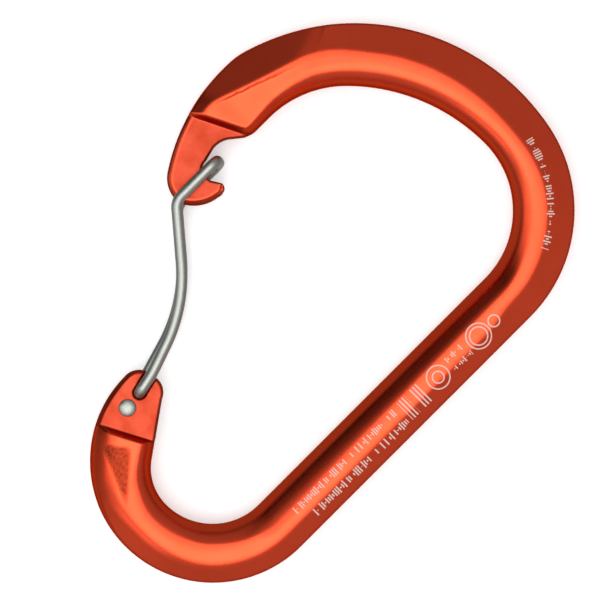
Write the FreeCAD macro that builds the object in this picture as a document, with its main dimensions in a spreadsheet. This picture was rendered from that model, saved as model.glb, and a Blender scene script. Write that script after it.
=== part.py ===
import FreeCAD, Part
import Sketcher
import math
import os

# A wire-gate carabiner lying flat: a forged aluminium body and a gate bent from one steel wire.
# +Z is the thickness, +Y the long axis (wide end up), and the spine is on the +X side.
# Every sub-part is drawn about the body's mid-plane and then lifted by half the thickness,
# so Z = 0 is the underside that the carabiner lies on.

VECTOR = FreeCAD.Vector
UP = VECTOR(0, 0, 1)

DIMENSIONS = {
    # the body's rod
    "overall_length": 112.0,
    "overall_width": 73.2,
    "rod_thickness": 10.0,
    "rod_width": 11.0,
    "bevel_width": 4.6,
    "bevel_depth": 2.4,
    "crown_radius": 4.0,
    "inner_round": 4.6,
    # outer curves, from the spine over the wide end to the nose
    "corner_radius": 28.1,
    "arch_radius": 43.5,
    "arch_start_deg": 79.3,
    "nose_radius": 38.5,
    "nose_centre_height": 20.1,
    "nose_blend_radius": 12.0,
    # inner curves, the same way
    "eye_corner_radius": 17.8,
    "eye_corner_height": 26.8,
    "eye_arch_radius": 36.6,
    "eye_shoulder_radius": 20.4,
    # narrow end
    "heel_rod_width": 10.8,
    "heel_radius": 23.2,
    "heel_left_radius": 22.4,
    "eye_heel_radius": 12.2,
    "eye_heel_left_radius": 9.7,
    # flat tabs at the two ends of the rod
    "tab_thickness": 4.8,
    "wall_lean": 0.7,
    "tab_chamfer": 0.8,
    # gate wire
    "wire_diameter": 2.0,
    "wire_side_gap": 0.3,
    "hole_diameter": 2.36,
    "blind_depth": 3.4,
    "relief_diameter": 2.8,
    "relief_depth": 0.5,
    "head_diameter": 3.2,
    "head_height": 0.8,
    "head_gap": 0.05,
    "peg_gap": 0.3,
    "peg_proud": 0.3,
    "split_gap": 0.1,
}

# Angles in degrees and places in X, Y or X, Y, Z millimetres, from the centre of the mid-plane.

# where the eye's wide arch hands over to the arc above the nose
EYE_SHOULDER_START = 135.0
# direction of the hinge tab's straight inner edge
TAB_EDGE_DEG = 125.4
# where the rod ends in the wall above each tab: angles on the outer arcs, heights on the eye side
NOSE_WALL_DEG = 196.7
NOSE_WALL_INNER_Y = 14.43
HINGE_WALL_DEG = 206.7
HINGE_WALL_INNER_Y = -38.3
# a place well inside the rope eye, to tell the rod's eye side from its outside
EYE_CENTRE = VECTOR(4, 2, 0)

# the hook, from the nose's arc round the tip and the lip into the notch; a run of one place is
# straight, a run of two is an arc through the first to the second
HOOK_TIP_DEG = 212.8
HOOK_RUNS = [
    [(-27.6, -3.25), (-24.6, -3.6)],
    [(-21.9, -1.5), (-20.3, 2.4)],
    [(-20.35, 4.0), (-21.6, 4.6)],
    [(-22.5, 4.05), (-23.5, 3.4)],
    [(-25.1, 3.4)],
    [(-26.25, 4.0), (-26.75, 5.4)],
    [(-27.45, 8.2)],
    [(-27.2, 10.0), (-26.0, 12.0)],
]
# how far the nose tab runs on inside the rod
NOSE_OVERLAP_DEG = 2.0
NOSE_TAB_TOP_Y = 15.4
NOSE_TAB_ROOT = [[(-27.055, 17.4)], [(-32.5, 13.0)]]

# the hinge tab, the same way: its rounded top, then what runs on inside the rod
HINGE_TOP_RUNS = [
    [(-8.25, -31.25), (-6.2, -30.05)],
    [(-4.6, -29.8)],
]
HINGE_TOP_MIDDLE = (-2.35, -30.3)
HINGE_EDGE_TOP_Y = -31.9
HINGE_EDGE_FOOT_Y = -40.4
HINGE_TAB_ROOT = [[(3.0, -42.5)], [(-4.5, -45.0)]]

# facets: three places on each slanted plane, and the region of the outline that it cuts
NOSE_FACET = [(-32, 16, 4.45), (-27, 33, 5.0), (-25.9, 20, 4.08)]
NOSE_FACET_REGION = [(-25.9, 8), (-25.9, 37), (-40, 37), (-40, 4)]
NOSE_BEVEL = [(-32, 16, 4.45), (-27, 33, 5.0), (-36.6, 20, 1.3)]
NOSE_BEVEL_REGION = [(-24, 4), (-24, 33), (-26.5, 35.5), (-42, 41.3), (-42, 4)]
HINGE_FACET = [(6.5, -49, 4.95), (-3, -44.3, 4.1), (2.5, -42.7, 4.1)]
HINGE_FACET_REGION = [(6.5, -49), (-3.6, -44.6), (-6, -40), (2, -36), (3.0, -42.5)]
# more than a facet's cut is deep, and more than an end wall is wide
FACET_CUT = 8.0
WALL_CUT = 30.0
# how far the cut of an end wall stands above the crown
WALL_OVERRUN = 0.5

# the hook's edges that are broken lie left of the first X, or left of the second one below Y = 0
HOOK_LEFT_X = -32
HOOK_LIP_X = -21
HOOK_CHAMFER_Y = (-5, 8)

# where the two legs of the gate turn in the hinge tab
FRONT_PIVOT = (-4.85, -33.8)
REAR_PIVOT = (-4.45, -37.4)
# corners of the gate's two legs, from the hinge to the nose, and the bend radii there
FRONT_LEG = [(-5.7, -29.6), (-10.3, -16.4), (-25.4, -3.73)]
FRONT_RADII = [20.0, 30.0, 3.0]
REAR_LEG = [(-10.71, -16.2), (-24.5, -4.49)]
REAR_RADII = [29.0, 3.0]
# the bar that latches in the notch
BAR_Y = 6.9
BAR_FRONT_X = -25.4
BAR_REAR_X = -24.5
HINGE_BEND = 1.3
BAR_BEND = 1.7
# box that holds all of one leg's wire past the split: its size and its lower left corner
SPLIT_BOX = (30, 60, 20)
SPLIT_CORNER = (-30, -30)

# distances below which two heights, or a place and a line, count as the same
SAME_HEIGHT = 1e-4
SAME_LINE = 0.05
# steps used to look just beside a place
PROBE_STEP = 1.0
CREASE_STEP = 0.5
CREASE_DEPTH = 0.01
# least volume in cubic millimetres that a cut must take away
LEAST_CUT = 1e-3


def new_sheet(doc):
    """Spreadsheet with one aliased cell for each driving dimension."""
    sheet = doc.addObject("Spreadsheet::Sheet", "Sheet")
    for row, (name, size) in enumerate(DIMENSIONS.items(), start=1):
        sheet.set(f"A{row}", name)
        sheet.set(f"B{row}", str(size))
        sheet.setAlias(f"B{row}", name)
    doc.recompute()
    return sheet


def polar(centre, radius, degrees):
    """Point at an angle on a circle in the XY plane."""
    angle = math.radians(degrees)
    return VECTOR(centre.x + radius * math.cos(angle), centre.y + radius * math.sin(angle), 0)


def angle_of(centre, point):
    """Angle in degrees of a point seen from a circle's centre."""
    return math.degrees(math.atan2(point.y - centre.y, point.x - centre.x))


def arc(centre, radius, start, end):
    """Arc of a circle, anticlockwise from one angle in degrees to another."""
    circle = Part.Circle(centre, UP, radius)
    return Part.ArcOfCircle(circle, math.radians(start), math.radians(end))


def arc_through(first, middle, last):
    """Arc through three points given as X, Y pairs."""
    return Part.Arc(VECTOR(*first, 0), VECTOR(*middle, 0), VECTOR(*last, 0))


def line(first, last):
    """Straight edge between two points."""
    return Part.LineSegment(VECTOR(*first[:2], 0), VECTOR(*last[:2], 0))


def traced(start, runs):
    """Edges from a start along runs of places: one place makes a line, two make an arc."""
    edges = []
    here = start[:2]
    for run in runs:
        edges.append(line(here, *run) if len(run) == 1 else arc_through(here, *run))
        here = run[-1][:2]
    return edges


def blend_centre(first, first_radius, second, second_radius, blend):
    """Centre of the small arc that touches two larger arcs from inside, on their left."""
    reach_first = first_radius - blend
    reach_second = second_radius - blend
    gap = second.sub(first)
    along = (reach_first**2 - reach_second**2 + gap.Length**2) / (2 * gap.Length)
    across = math.sqrt(reach_first**2 - along**2)
    unit = VECTOR(gap).normalize()
    left = VECTOR(-unit.y, unit.x, 0)
    options = [first + unit * along + left * across, first + unit * along - left * across]
    return min(options, key=lambda point: point.x)


class Outline:
    """Centres of the arcs that bound the body, worked out from the sheet's sizes."""

    def __init__(self, sheet):
        half_length = sheet.overall_length / 2
        half_width = sheet.overall_width / 2
        self.spine_outer = half_width
        self.spine_inner = half_width - sheet.rod_width

        # outer arcs: each is tangent to the one before it
        start = math.radians(sheet.arch_start_deg)
        step = sheet.arch_radius - sheet.corner_radius
        self.corner = VECTOR(
            half_width - sheet.corner_radius,
            half_length - sheet.arch_radius + step * math.sin(start),
            0,
        )
        self.arch = self.corner - VECTOR(step * math.cos(start), step * math.sin(start), 0)
        self.nose = VECTOR(sheet.nose_radius - half_width, sheet.nose_centre_height, 0)
        self.blend = blend_centre(
            self.arch, sheet.arch_radius, self.nose, sheet.nose_radius, sheet.nose_blend_radius
        )
        self.blend_start = angle_of(self.arch, self.blend) % 360
        self.blend_end = angle_of(self.nose, self.blend) % 360
        heel_x = half_width - sheet.heel_radius
        self.heel = VECTOR(heel_x, sheet.heel_radius - half_length, 0)
        self.heel_left = VECTOR(heel_x, sheet.heel_left_radius - half_length, 0)

        # inner arcs
        self.eye_corner = VECTOR(
            self.spine_inner - sheet.eye_corner_radius, sheet.eye_corner_height, 0
        )
        self.eye_arch = self.eye_corner - VECTOR(
            0, sheet.eye_arch_radius - sheet.eye_corner_radius, 0
        )
        self.eye_shoulder = polar(
            self.eye_arch, sheet.eye_arch_radius - sheet.eye_shoulder_radius, EYE_SHOULDER_START
        )
        eye_heel_x = self.spine_inner - sheet.eye_heel_radius
        eye_bottom = sheet.heel_rod_width - half_length
        self.eye_heel = VECTOR(eye_heel_x, eye_bottom + sheet.eye_heel_radius, 0)
        self.eye_heel_left = VECTOR(eye_heel_x, eye_bottom + sheet.eye_heel_left_radius, 0)



def nose_wall(sheet, outline):
    """Outer and inner ends of the foot of the wall above the nose tab."""
    outer = polar(outline.nose, sheet.nose_radius, NOSE_WALL_DEG)
    inner = VECTOR(outline.eye_shoulder.x - sheet.eye_shoulder_radius, NOSE_WALL_INNER_Y, 0)
    return outer, inner


def tab_edge_point(sheet, outline, height):
    """Point at a height on the hinge tab's straight inner edge."""
    foot = polar(outline.eye_heel_left, sheet.eye_heel_left_radius, TAB_EDGE_DEG + 90)
    run = (height - foot.y) / math.tan(math.radians(TAB_EDGE_DEG))
    return VECTOR(foot.x + run, height, 0)


def hinge_wall(sheet, outline):
    """Outer and inner ends of the foot of the wall below the hinge tab."""
    outer = polar(outline.heel_left, sheet.heel_left_radius, HINGE_WALL_DEG)
    inner = tab_edge_point(sheet, outline, HINGE_WALL_INNER_Y)
    return outer, inner


def rod_edges(sheet, outline):
    """Closed outline of the rod, from the nose wall round to the hinge wall and back."""
    nose_outer, nose_inner = nose_wall(sheet, outline)
    hinge_outer, hinge_inner = hinge_wall(sheet, outline)
    foot_deg = TAB_EDGE_DEG + 90
    foot = polar(outline.eye_heel_left, sheet.eye_heel_left_radius, foot_deg)
    spine_outer, spine_inner = outline.spine_outer, outline.spine_inner
    outside = [
        arc(outline.nose, sheet.nose_radius, outline.blend_end, NOSE_WALL_DEG),
        arc(outline.blend, sheet.nose_blend_radius, outline.blend_start, outline.blend_end),
        arc(outline.arch, sheet.arch_radius, sheet.arch_start_deg, outline.blend_start),
        arc(outline.corner, sheet.corner_radius, 0, sheet.arch_start_deg),
        line((spine_outer, outline.corner.y), (spine_outer, outline.heel.y)),
        arc(outline.heel, sheet.heel_radius, 270, 360),
        arc(outline.heel_left, sheet.heel_left_radius, HINGE_WALL_DEG, 270),
    ]
    eye_side = [
        line(hinge_inner, foot),
        arc(outline.eye_heel_left, sheet.eye_heel_left_radius, foot_deg, 270),
        arc(outline.eye_heel, sheet.eye_heel_radius, 270, 360),
        line((spine_inner, outline.eye_heel.y), (spine_inner, outline.eye_corner.y)),
        arc(outline.eye_corner, sheet.eye_corner_radius, 0, 90),
        arc(outline.eye_arch, sheet.eye_arch_radius, 90, EYE_SHOULDER_START),
        arc(outline.eye_shoulder, sheet.eye_shoulder_radius, EYE_SHOULDER_START, 180),
        line((nose_inner.x, outline.eye_shoulder.y), nose_inner),
    ]
    walls = [line(hinge_outer, hinge_inner), line(nose_inner, nose_outer)]
    return outside + walls[:1] + eye_side + walls[1:]


def nose_tab_edges(sheet, outline):
    """Closed outline of the nose tab: hook, lip and the notch that holds the gate's bar."""
    start_deg = NOSE_WALL_DEG - NOSE_OVERLAP_DEG
    start = polar(outline.nose, sheet.nose_radius, start_deg)
    tip = polar(outline.nose, sheet.nose_radius, HOOK_TIP_DEG)
    eye_x = outline.eye_shoulder.x - sheet.eye_shoulder_radius
    runs = HOOK_RUNS + [[(eye_x, NOSE_TAB_TOP_Y)]] + NOSE_TAB_ROOT + [[start]]
    return [arc(outline.nose, sheet.nose_radius, start_deg, HOOK_TIP_DEG)] + traced(tip, runs)


def hinge_tab_edges(sheet, outline):
    """Closed outline of the tapered hinge tab."""
    start = polar(outline.heel_left, sheet.heel_left_radius, HINGE_WALL_DEG)
    shoulder = polar(outline.heel_left, sheet.heel_left_radius, 180)
    edge_top = tab_edge_point(sheet, outline, HINGE_EDGE_TOP_Y)
    edge_foot = tab_edge_point(sheet, outline, HINGE_EDGE_FOOT_Y)
    edge_runs = [[HINGE_TOP_MIDDLE, edge_top[:2]], [edge_foot]]
    runs = HINGE_TOP_RUNS + edge_runs + HINGE_TAB_ROOT + [[start]]
    side = arc(outline.heel_left, sheet.heel_left_radius, 180, HINGE_WALL_DEG)
    return [side] + traced(shoulder, runs)


def origin_plane(body, role):
    """One of a body's own origin planes."""
    return next(item for item in body.Origin.OriginFeatures if item.Role == role)


def flat_sketch(body, name, edges, height=0.0):
    """Sketch parallel to the mid-plane, at a height above it."""
    sketch = body.newObject("Sketcher::SketchObject", name)
    sketch.AttachmentSupport = [(origin_plane(body, "XY_Plane"), "")]
    sketch.MapMode = "FlatFace"
    sketch.AttachmentOffset = FreeCAD.Placement(VECTOR(0, 0, height), FreeCAD.Rotation())
    sketch.addGeometry(edges, False)
    return sketch


def plane_sketch(body, name, origin, x_axis, normal, corners):
    """Sketch of a polygon on a slanted plane; the corners are points in the body's space."""
    y_axis = normal.cross(x_axis).normalize()
    rotation = FreeCAD.Rotation(x_axis, y_axis, normal, "ZXY")
    placement = FreeCAD.Placement(origin, rotation)
    to_plane = placement.inverse()
    points = [to_plane.multVec(corner) for corner in corners]
    edges = [line(first, last) for first, last in zip(points, points[1:] + points[:1])]
    sketch = body.newObject("Sketcher::SketchObject", name)
    sketch.AttachmentSupport = [(origin_plane(body, "XY_Plane"), "")]
    sketch.MapMode = "FlatFace"
    sketch.AttachmentOffset = placement
    sketch.addGeometry(edges, False)
    return sketch


def edges_where(feature, wanted):
    """Names of the edges of a feature whose middle point passes a test."""
    names = []
    for number, edge in enumerate(feature.Shape.Edges, start=1):
        middle = edge.valueAt((edge.FirstParameter + edge.LastParameter) / 2)
        if wanted(middle):
            names.append(f"Edge{number}")
    return names


def add_pad(doc, body, sketch, length):
    """Pad of a sketch, the same distance to both sides of the mid-plane."""
    pad = body.newObject("PartDesign::Pad", sketch.Name + "_pad")
    pad.Profile = sketch
    pad.Midplane = True
    pad.setExpression("Length", length)
    doc.recompute()
    return pad


def add_pocket(doc, body, sketch, length, reverse=False, both=False):
    """Pocket of a sketch, which must take material away."""
    before = body.Shape.Volume
    pocket = body.newObject("PartDesign::Pocket", sketch.Name + "_pocket")
    pocket.Profile = sketch
    pocket.Reversed = reverse
    pocket.Midplane = both
    if isinstance(length, str):
        pocket.setExpression("Length", length)
    else:
        pocket.Length = length
    doc.recompute()
    if body.Shape.Volume > before - LEAST_CUT:
        raise RuntimeError(f"{pocket.Name} removes nothing")
    return pocket


def add_mirror(doc, body, name, features):
    """The same features on the other face of the body."""
    mirror = body.newObject("PartDesign::Mirrored", name)
    mirror.Originals = features
    mirror.MirrorPlane = (origin_plane(body, "XY_Plane"), [""])
    body.Tip = mirror
    doc.recompute()
    return mirror


def in_plan(point):
    """Point moved straight down to the mid-plane."""
    return VECTOR(point.x, point.y, 0)


def on_eye_side(feature, point):
    """True where a point of the rod's flank faces the rope eye rather than the outside."""
    towards_eye = (EYE_CENTRE - in_plan(point)).normalize()
    probe = in_plan(point) + towards_eye * PROBE_STEP
    return not feature.Shape.isInside(probe, SAME_HEIGHT, False)


def at_bevel_top(feature, point):
    """True where the feature's surface falls away just outside a point of its flat crown."""
    away = (in_plan(point) - EYE_CENTRE).normalize()
    outside = point + away * CREASE_STEP
    below = outside - UP * math.copysign(CREASE_DEPTH, point.z)
    return not feature.Shape.isInside(below, SAME_HEIGHT, False)


def on_lines(lines, point):
    """True for a point over one of the given lines in plan."""
    for first, last in lines:
        along = (last - first).normalize()
        if (in_plan(point) - first).cross(along).Length < SAME_LINE:
            return True
    return False


def shape_rod(doc, body, sheet, outline):
    """The rod: bevelled towards the outside, round towards the rope eye."""
    sketch = flat_sketch(body, "rod_outline", rod_edges(sheet, outline))
    pad = add_pad(doc, body, sketch, "Sheet.rod_thickness")
    walls = [nose_wall(sheet, outline), hinge_wall(sheet, outline)]
    top = sheet.rod_thickness / 2

    def on_face(point):
        return abs(abs(point.z) - top) < SAME_HEIGHT and not on_lines(walls, point)

    bevel = body.newObject("PartDesign::Chamfer", "outer_bevel")
    bevel.Base = (pad, edges_where(pad, lambda point: on_face(point) and not on_eye_side(pad, point)))
    bevel.ChamferType = "Two distances"
    bevel.setExpression("Size", "Sheet.bevel_depth")
    bevel.setExpression("Size2", "Sheet.bevel_width")
    doc.recompute()

    inner = body.newObject("PartDesign::Fillet", "eye_round")
    inner.Base = (bevel, edges_where(bevel, lambda point: on_face(point) and on_eye_side(pad, point)))
    inner.setExpression("Radius", "Sheet.inner_round")
    doc.recompute()

    crown = body.newObject("PartDesign::Fillet", "crown_round")
    crown.Base = (inner, edges_where(inner, lambda point: on_face(point) and at_bevel_top(inner, point)))
    crown.setExpression("Radius", "Sheet.crown_radius")
    doc.recompute()


def plane_height(plane, x, y):
    """Height of a slanted plane, given as three points, over a place."""
    first, second, third = (VECTOR(*point) for point in plane)
    normal = (second - first).cross(third - first)
    return first.z - (normal.x * (x - first.x) + normal.y * (y - first.y)) / normal.z


def cut_facet(doc, body, name, plane, region):
    """Take away what stands above a slanted plane inside a region of the outline."""
    first, second, third = (VECTOR(*point) for point in plane)
    normal = (second - first).cross(third - first).normalize()
    if normal.z < 0:
        normal = -normal
    x_axis = (second - first).normalize()
    corners = [VECTOR(x, y, plane_height(plane, x, y)) for x, y in region]
    sketch = plane_sketch(body, name, first, x_axis, normal, corners)
    doc.recompute()
    return add_pocket(doc, body, sketch, FACET_CUT, reverse=True)


def lean_wall(doc, body, sheet, name, foot):
    """Lean the end wall of the rod back from its foot on the tab."""
    first, last = foot
    along = (last - first).normalize()
    off_rod = VECTOR(-along.y, along.x, 0)
    middle = (first + last) / 2
    if body.Shape.isInside(middle + off_rod * PROBE_STEP, SAME_HEIGHT, False):
        off_rod = -off_rod
    low = sheet.tab_thickness / 2
    high = sheet.rod_thickness / 2 + WALL_OVERRUN
    corners = [
        middle + UP * low,
        middle + UP * high - off_rod * sheet.wall_lean,
        middle + UP * high + off_rod,
        middle + UP * low + off_rod,
    ]
    sketch = plane_sketch(body, name, middle, off_rod, off_rod.cross(UP), corners)
    doc.recompute()
    return add_pocket(doc, body, sketch, WALL_CUT, both=True)


def shape_tabs(doc, body, sheet, outline):
    """Facets and end walls on both faces, then the two flat tabs."""
    cuts = [
        cut_facet(doc, body, "nose_facet", NOSE_FACET, NOSE_FACET_REGION),
        cut_facet(doc, body, "nose_bevel", NOSE_BEVEL, NOSE_BEVEL_REGION),
        cut_facet(doc, body, "hinge_facet", HINGE_FACET, HINGE_FACET_REGION),
        lean_wall(doc, body, sheet, "nose_wall", nose_wall(sheet, outline)),
        lean_wall(doc, body, sheet, "hinge_wall", hinge_wall(sheet, outline)),
    ]
    add_mirror(doc, body, "other_face", cuts)
    for name, edges in (
        ("nose_tab", nose_tab_edges(sheet, outline)),
        ("hinge_tab", hinge_tab_edges(sheet, outline)),
    ):
        sketch = flat_sketch(body, name, edges)
        doc.recompute()
        add_pad(doc, body, sketch, "Sheet.tab_thickness")


def chamfer_hook(doc, body, sheet):
    """Break the hook's outer edge, from the end wall round the tip to the lip."""
    face = sheet.tab_thickness / 2
    low_y, high_y = HOOK_CHAMFER_Y

    def hook_edge(point):
        on_face = abs(abs(point.z) - face) < SAME_HEIGHT
        outside = point.x < HOOK_LEFT_X or (point.x < HOOK_LIP_X and point.y < 0)
        return on_face and outside and low_y < point.y < high_y

    base = body.Tip
    chamfer = body.newObject("PartDesign::Chamfer", "hook_chamfer")
    chamfer.Base = (base, edges_where(base, hook_edge))
    chamfer.setExpression("Size", "Sheet.tab_chamfer")
    doc.recompute()


def drill(doc, body, name, centre, height, diameter, depth, both=False, reverse=False):
    """Round hole from a height, its diameter and depth taken from the sheet."""
    circle = Part.Circle(VECTOR(*centre, 0), UP, 1.0)
    sketch = flat_sketch(body, name, [circle], height)
    sketch.addConstraint(Sketcher.Constraint("Diameter", 0, 2.0))
    sketch.renameConstraint(0, "diameter")
    sketch.setExpression("Constraints.diameter", diameter)
    doc.recompute()
    add_pocket(doc, body, sketch, depth, reverse=reverse, both=both)


def cut_hinge_holes(doc, body, sheet):
    """Blind hole for the front leg, through hole for the rear leg, and a relief at each bend."""
    face = sheet.tab_thickness / 2
    drill(doc, body, "front_hole", FRONT_PIVOT, face, "Sheet.hole_diameter", "Sheet.blind_depth")
    drill(doc, body, "rear_hole", REAR_PIVOT, 0, "Sheet.hole_diameter", "Sheet.rod_thickness",
          both=True)
    drill(doc, body, "front_relief", FRONT_PIVOT, face, "Sheet.relief_diameter",
          "Sheet.relief_depth")
    drill(doc, body, "rear_relief", REAR_PIVOT, -face, "Sheet.relief_diameter",
          "Sheet.relief_depth", reverse=True)


def tangent_arc(before, corner, after, radius):
    """Arc of a given radius that rounds a corner between two straight runs."""
    back = (before - corner).normalize()
    ahead = (after - corner).normalize()
    half_turn = (math.pi - back.getAngle(ahead)) / 2
    reach = radius * math.tan(half_turn)
    middle_way = (back + ahead).normalize()
    to_arc = radius / math.cos(half_turn) - radius
    return Part.Arc(corner + back * reach, corner + middle_way * to_arc, corner + ahead * reach)


def bent_path(points, radii):
    """Wire through the first and last point, with each corner between them rounded."""
    arcs = [
        tangent_arc(points[index], points[index + 1], points[index + 2], radius)
        for index, radius in enumerate(radii)
    ]
    edges = []
    here = points[0]
    for rounded in arcs:
        edges.append(Part.LineSegment(here, rounded.StartPoint).toShape())
        edges.append(rounded.toShape())
        here = rounded.EndPoint
    edges.append(Part.LineSegment(here, points[-1]).toShape())
    return Part.Wire(edges)


def swept_wire(points, radii, diameter):
    """Round wire along a bent path."""
    path = bent_path(points, radii)
    start = (points[1] - points[0]).normalize()
    section = Part.Wire([Part.Circle(points[0], start, diameter / 2).toShape()])
    return path.makePipeShell([section], True, False)


def gate_leg(sheet, side, pivot, leg, leg_radii, peg_end):
    """One leg of the gate, with its peg in the hinge tab and its half of the latching bar."""
    leg_height = side * (sheet.tab_thickness / 2 + sheet.wire_side_gap + sheet.wire_diameter / 2)
    bar_x = BAR_FRONT_X if side > 0 else BAR_REAR_X
    far_x = BAR_REAR_X if side > 0 else BAR_FRONT_X
    past_middle = VECTOR((bar_x + 2 * far_x) / 3, BAR_Y, -leg_height / 3)
    points = [
        VECTOR(*pivot, peg_end),
        VECTOR(*pivot, leg_height),
        *[VECTOR(x, y, leg_height) for x, y in leg],
        VECTOR(bar_x, BAR_Y, leg_height),
        past_middle,
    ]
    wire = swept_wire(points, [HINGE_BEND, *leg_radii, BAR_BEND], sheet.wire_diameter)
    box_height = SPLIT_BOX[2]
    box_z = sheet.split_gap / 2 - box_height if side > 0 else -sheet.split_gap / 2
    return wire.cut(Part.makeBox(*SPLIT_BOX, VECTOR(*SPLIT_CORNER, box_z)))


def front_wire(sheet):
    """Leg on the upper face; its peg stops above the floor of its blind hole."""
    peg_end = sheet.tab_thickness / 2 - sheet.blind_depth + sheet.peg_gap
    return gate_leg(sheet, 1, FRONT_PIVOT, FRONT_LEG, FRONT_RADII, peg_end)


def rear_wire(sheet):
    """Leg on the lower face; its peg goes through the tab and ends in a peened head."""
    peg_end = sheet.tab_thickness / 2 + sheet.peg_proud
    wire = gate_leg(sheet, -1, REAR_PIVOT, REAR_LEG, REAR_RADII, peg_end)
    foot = sheet.tab_thickness / 2 + sheet.head_gap
    radius = (sheet.head_diameter**2 / 4 + sheet.head_height**2) / (2 * sheet.head_height)
    ball = Part.makeSphere(radius, VECTOR(*REAR_PIVOT, foot + sheet.head_height - radius))
    width = 2 * radius
    above = Part.makeBox(
        width, width, width, VECTOR(REAR_PIVOT[0] - radius, REAR_PIVOT[1] - radius, foot)
    )
    return wire.fuse(ball.common(above)).removeSplitter()


def add_wire(doc, name, shape):
    """Sub-part for a finished wire shape, lifted to its height above the underside."""
    part = doc.addObject("Part::Feature", name)
    part.Label = name
    part.Shape = shape
    part.setExpression("Placement.Base.z", "Sheet.rod_thickness / 2")
    return part


def check_all(doc, parts):
    """Stop before anything is written if an object failed or a sub-part is not one solid."""
    for item in doc.Objects:
        if {"Invalid", "Error"} & set(item.State):
            raise RuntimeError(f"{item.Name} did not recompute")
    for part in parts:
        shape = part.Shape
        if shape.isNull() or not shape.isValid() or len(shape.Solids) != 1:
            raise RuntimeError(f"{part.Label} is not one valid solid")


def main():
    doc = FreeCAD.newDocument("carabiner")
    sheet = new_sheet(doc)
    outline = Outline(sheet)
    body = doc.addObject("PartDesign::Body", "body")
    body.Label = "body"
    shape_rod(doc, body, sheet, outline)
    shape_tabs(doc, body, sheet, outline)
    chamfer_hook(doc, body, sheet)
    cut_hinge_holes(doc, body, sheet)
    body.setExpression("Placement.Base.z", "Sheet.rod_thickness / 2")
    parts = [
        body,
        add_wire(doc, "gate_wire_front", front_wire(sheet)),
        add_wire(doc, "gate_wire_rear", rear_wire(sheet)),
    ]
    doc.recompute()
    check_all(doc, parts)
    os.makedirs("parts", exist_ok=True)
    for part in parts:
        part.Shape.exportStep(f"parts/{part.Label}.step")
        print(part.Label, f"{part.Shape.Volume:.2f} mm3")


main()
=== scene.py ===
import math
from typing import NamedTuple

import bpy
import numpy as np
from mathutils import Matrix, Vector


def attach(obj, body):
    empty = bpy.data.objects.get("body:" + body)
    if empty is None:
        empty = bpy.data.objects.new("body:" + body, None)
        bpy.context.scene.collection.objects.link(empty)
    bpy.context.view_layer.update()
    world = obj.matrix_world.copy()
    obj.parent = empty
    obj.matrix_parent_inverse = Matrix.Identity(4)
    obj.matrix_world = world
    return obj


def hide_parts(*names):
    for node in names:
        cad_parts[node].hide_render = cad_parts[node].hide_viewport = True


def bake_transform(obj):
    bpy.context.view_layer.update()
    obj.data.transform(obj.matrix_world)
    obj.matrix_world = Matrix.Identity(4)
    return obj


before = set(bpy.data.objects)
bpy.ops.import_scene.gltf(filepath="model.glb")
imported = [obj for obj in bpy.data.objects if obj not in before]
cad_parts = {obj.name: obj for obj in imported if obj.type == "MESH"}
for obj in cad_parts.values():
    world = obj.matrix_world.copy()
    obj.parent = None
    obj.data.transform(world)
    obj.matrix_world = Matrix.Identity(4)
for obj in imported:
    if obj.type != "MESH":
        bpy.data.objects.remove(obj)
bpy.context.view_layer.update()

# Lengths are in millimetres in this script's own numbers, in the part's frame, and are turned
# into metres when a mesh is made. Z is counted from the body's mid-plane in the shape code.
MM = 0.001
MID_PLANE = 5.0
HALF_THICKNESS = 5.0
HALF_TAB = 2.4

# outer curves of the body: centre X, centre Y, radius
CORNER = (8.5, 27.632, 28.1)
ARCH = (5.641, 12.5, 43.5)
BLEND = (-24.5665, 21.4315, 12.0)
NOSE = (1.9, 20.1, 38.5)
HEEL = (13.4, -32.8, 23.2)
HEEL_LEFT = (13.4, -33.6, 22.4)
ARCH_START = 79.3
BLEND_START = 163.5285
BLEND_END = 177.12
HOOK_START = 212.8

# inner curves, round the rope eye
EYE_CORNER = (7.8, 26.8, 17.8)
EYE_ARCH = (7.8, 8.0, 36.6)
EYE_SHOULDER = (-3.6551, 19.4551, 20.4)
EYE_HEEL = (13.4, -33.0, 12.2)
EYE_HEEL_LEFT = (13.4, -35.5, 9.7)
TAB_EDGE_DEG = 215.4

# tips of the hook's lip and of the hinge tab, where the outer and inner curves meet
LIP_TIP = (-20.75, 4.35)
TAB_TIP = (-4.6, -29.8)

# ends of the walls where the rod steps down to its two flat tabs, outside end first
NOSE_WALL = ((-34.98, 9.04), (-24.055, 14.43))
HINGE_WALL = ((-6.61, -43.66), (3.56, -38.3))

# axes of the holes for the gate's two legs, and the ways in which their slots run
FRONT_PIVOT = np.array((-4.85, -33.8))
REAR_PIVOT = np.array((-4.45, -37.4))
FRONT_SLOT_WAY = np.array((-0.24, 0.971))
REAR_SLOT_WAY = np.array((-0.293, 0.956))
FRONT_SLOT_RUN = 3.6
REAR_SLOT_RUN = 7.2


# ---------------------------------------------------------------- curves in plan

# places tried along a chain when looking for its nearest one
RUN_SAMPLES = 8000


class Arc:
    """Arc of a circle between two angles in degrees, run in either direction."""

    def __init__(self, circle, start, end):
        self.centre = np.array(circle[:2], float)
        self.radius = circle[2]
        self.start = math.radians(start)
        self.end = math.radians(end)
        self.length = abs(self.end - self.start) * self.radius

    def points(self, share):
        angle = self.start + (self.end - self.start) * share
        return self.centre + self.radius * np.stack([np.cos(angle), np.sin(angle)], -1)

    def distance(self, places):
        offset = places - self.centre
        angle = np.arctan2(offset[:, 1], offset[:, 0])
        middle = (self.start + self.end) / 2
        half = abs(self.end - self.start) / 2
        turn = (angle - middle + math.pi) % (2 * math.pi) - math.pi
        on_arc = np.abs(np.hypot(offset[:, 0], offset[:, 1]) - self.radius)
        ends = self.points(np.array([0.0, 1.0]))
        to_ends = np.min([np.hypot(*(places - end).T) for end in ends], axis=0)
        return np.where(np.abs(turn) <= half, on_arc, to_ends)


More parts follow.
